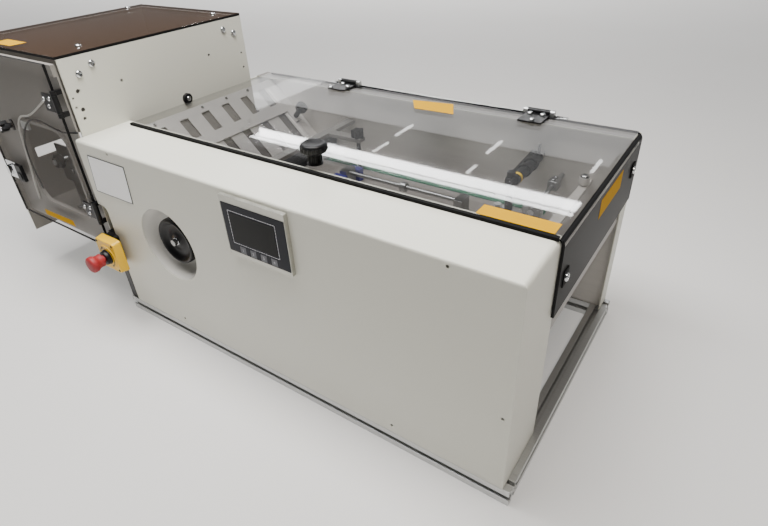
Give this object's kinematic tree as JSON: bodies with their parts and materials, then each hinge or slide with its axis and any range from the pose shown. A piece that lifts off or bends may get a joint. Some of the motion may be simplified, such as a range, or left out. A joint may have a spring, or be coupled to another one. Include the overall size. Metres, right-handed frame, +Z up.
{
  "type": "paper folding machine",
  "caption": "Paper folding machine: see-through hinged lid over a belt bed, fold rollers and fold plates, hand wheel, operator panel, and a taller delivery section with a glazed door.",
  "frame": {"origin": "middle of the footprint, on the ground", "axes": "+X towards the infeed end, +Y from the operator's side to the rear, +Z up"},
  "size_m": [1.1988, 0.5634, 0.5156],
  "materials": {
    "painted_sheet": "warm off-white powder coat",
    "grey_paint": "grey powder coat",
    "profile_aluminium": "satin anodised",
    "steel": "brushed",
    "bed_steel": "dark satin",
    "roller_rubber": "ground rubber",
    "belt_rubber": "matt belt fabric",
    "black_plastic": "moulded black",
    "key_plastic": "moulded grey",
    "yellow_plastic": "moulded yellow",
    "red_plastic": "moulded red",
    "latch_chrome": "polished",
    "smoked_sheet": "smoke-tinted clear sheet",
    "bronze_sheet": "bronze-tinted clear sheet",
    "cable_white": "soft jacket",
    "cable_black": "soft jacket"
  },
  "bodies": {
    "machine": {"front_cover": "painted_sheet", "rear_cover": "painted_sheet", "handwheel_bowl": "painted_sheet", "tall_right_wall": "painted_sheet", "tall_housing": "painted_sheet", "tall_front_frame": "grey_paint", "motor": "grey_paint", "cross_bar": "grey_paint", "estop_post": "grey_paint", "base_rail_front": "profile_aluminium", "base_rail_rear": "profile_aluminium", "base_rail_left": "profile_aluminium", "base_rail_right": "profile_aluminium", "operator_panel": "profile_aluminium", "side_frame_front": "steel", "side_frame_rear": "steel", "register_rail": "steel", "side_guide": "steel", "infeed_arm": "steel", "fold_plate_top": "steel", "fold_plate_base": "steel", "lower_fold_plate": "steel", "delivery_frame": "steel", "exit_guide": "steel", "bed_plate": "bed_steel", "transport_belt": "belt_rubber", "sensor_arm": "black_plastic", "lid_hinge_bar": "black_plastic", "estop_box": "yellow_plastic", "top_guard": "bronze_sheet", "white_cable": "cable_white", "black_cable": "cable_black"},
    "lid": {"lid": "smoked_sheet", "lid_knob": "black_plastic", "lid_hinge_leaf_left": "black_plastic", "lid_hinge_leaf_right": "black_plastic"},
    "door": {"door": "smoked_sheet", "door_hinge_leaf_upper": "black_plastic", "door_hinge_leaf_lower": "black_plastic", "door_latch": "latch_chrome"},
    "door_knob": {"door_knob": "black_plastic"},
    "feed_roller": {"fold_roller_2": "roller_rubber", "handwheel": "black_plastic"},
    "upper_roller": {"fold_roller_1": "roller_rubber"},
    "second_roller": {"fold_roller_3": "roller_rubber"},
    "third_roller": {"fold_roller_4": "roller_rubber"},
    "motor_gear": {"motor_gear": "steel"},
    "drive_pulley": {"belt_pulley_drive": "profile_aluminium"},
    "idler_pulley": {"belt_pulley_idler": "profile_aluminium"},
    "delivery_upper": {"delivery_roller_upper": "roller_rubber", "delivery_knob": "black_plastic"},
    "delivery_lower": {"delivery_roller_lower": "roller_rubber"},
    "fold_stop": {"fold_stop": "steel"},
    "stop_knob": {"stop_knob": "black_plastic"},
    "gap_knob": {"gap_knob": "black_plastic"},
    "emergency_button": {"estop_button": "red_plastic"},
    "key_1": {"panel_key_1": "key_plastic"},
    "key_2": {"panel_key_2": "key_plastic"},
    "key_3": {"panel_key_3": "key_plastic"},
    "key_4": {"panel_key_4": "key_plastic"}
  },
  "joints": [
    {"name": "lid_swing", "type": "hinge", "parent": "machine", "child": "lid", "pos_m": [0.2119, 0.27165, 0.3853], "axis": [-1, 0, 0], "range_deg": [0, 95]},
    {"name": "door_swing", "type": "hinge", "parent": "machine", "child": "door", "pos_m": [-0.2569, -0.21285, 0.3338], "axis": [0, 0, 1], "range_deg": [0, 100]},
    {"name": "door_knob_turn", "type": "hinge", "parent": "door", "child": "door_knob", "pos_m": [-0.4926, -0.20835, 0.3623], "axis": [0, 1, 0], "range_deg": [0, 90]},
    {"name": "handwheel_spin", "type": "hinge", "parent": "machine", "child": "feed_roller", "pos_m": [-0.0516, 0.02165, 0.2183], "axis": [0, 1, 0], "continuous": true},
    {"name": "upper_roller_spin", "type": "hinge", "parent": "machine", "child": "upper_roller", "pos_m": [-0.0516, 0.02165, 0.2583], "axis": [0, 1, 0], "continuous": true},
    {"name": "second_roller_spin", "type": "hinge", "parent": "machine", "child": "second_roller", "pos_m": [-0.0916, 0.02165, 0.2183], "axis": [0, 1, 0], "continuous": true},
    {"name": "third_roller_spin", "type": "hinge", "parent": "machine", "child": "third_roller", "pos_m": [-0.0916, 0.02165, 0.1783], "axis": [0, 1, 0], "continuous": true},
    {"name": "motor_spin", "type": "hinge", "parent": "machine", "child": "motor_gear", "pos_m": [-0.0916, 0.02165, 0.1283], "axis": [0, 1, 0], "continuous": true},
    {"name": "drive_pulley_spin", "type": "hinge", "parent": "machine", "child": "drive_pulley", "pos_m": [-0.0006, 0.02165, 0.2245], "axis": [0, 1, 0], "continuous": true},
    {"name": "idler_pulley_spin", "type": "hinge", "parent": "machine", "child": "idler_pulley", "pos_m": [0.4594, 0.02165, 0.2245], "axis": [0, 1, 0], "continuous": true},
    {"name": "delivery_upper_spin", "type": "hinge", "parent": "machine", "child": "delivery_upper", "pos_m": [-0.4556, 0.02165, 0.2743], "axis": [0, 1, 0], "continuous": true},
    {"name": "delivery_lower_spin", "type": "hinge", "parent": "machine", "child": "delivery_lower", "pos_m": [-0.4556, 0.02165, 0.2423], "axis": [0, 1, 0], "continuous": true},
    {"name": "fold_stop_slide", "type": "slide", "parent": "machine", "child": "fold_stop", "axis": [-0.7314, 0, 0.682], "range_m": [-0.04, 0.045]},
    {"name": "stop_knob_turn", "type": "hinge", "parent": "fold_stop", "child": "stop_knob", "pos_m": [-0.12853, 0.23035, 0.30564], "axis": [0.682, 0, 0.7314], "continuous": true},
    {"name": "gap_knob_turn", "type": "hinge", "parent": "machine", "child": "gap_knob", "pos_m": [0.0874, 0.17365, 0.3163], "axis": [0, 0, 1], "continuous": true},
    {"name": "emergency_push", "type": "slide", "parent": "machine", "child": "emergency_button", "axis": [0, 1, 0], "range_m": [0, 0.004], "stiffness_N_per_m": 600},
    {"name": "key_1_press", "type": "slide", "parent": "machine", "child": "key_1", "axis": [0, 1, 0], "range_m": [0, 0.001], "stiffness_N_per_m": 200},
    {"name": "key_2_press", "type": "slide", "parent": "machine", "child": "key_2", "axis": [0, 1, 0], "range_m": [0, 0.001], "stiffness_N_per_m": 200},
    {"name": "key_3_press", "type": "slide", "parent": "machine", "child": "key_3", "axis": [0, 1, 0], "range_m": [0, 0.001], "stiffness_N_per_m": 200},
    {"name": "key_4_press", "type": "slide", "parent": "machine", "child": "key_4", "axis": [0, 1, 0], "range_m": [0, 0.001], "stiffness_N_per_m": 200}
  ],
  "couplings": [
    {"joint": "upper_roller_spin", "follows": "handwheel_spin", "ratio": -1},
    {"joint": "second_roller_spin", "follows": "handwheel_spin", "ratio": -1},
    {"joint": "third_roller_spin", "follows": "handwheel_spin", "ratio": 1},
    {"joint": "motor_spin", "follows": "handwheel_spin", "ratio": -0.66667},
    {"joint": "drive_pulley_spin", "follows": "handwheel_spin", "ratio": 1.3333},
    {"joint": "idler_pulley_spin", "follows": "handwheel_spin", "ratio": 1.3333},
    {"joint": "delivery_upper_spin", "follows": "handwheel_spin", "ratio": -1.25},
    {"joint": "delivery_lower_spin", "follows": "handwheel_spin", "ratio": 1.25}
  ]
}
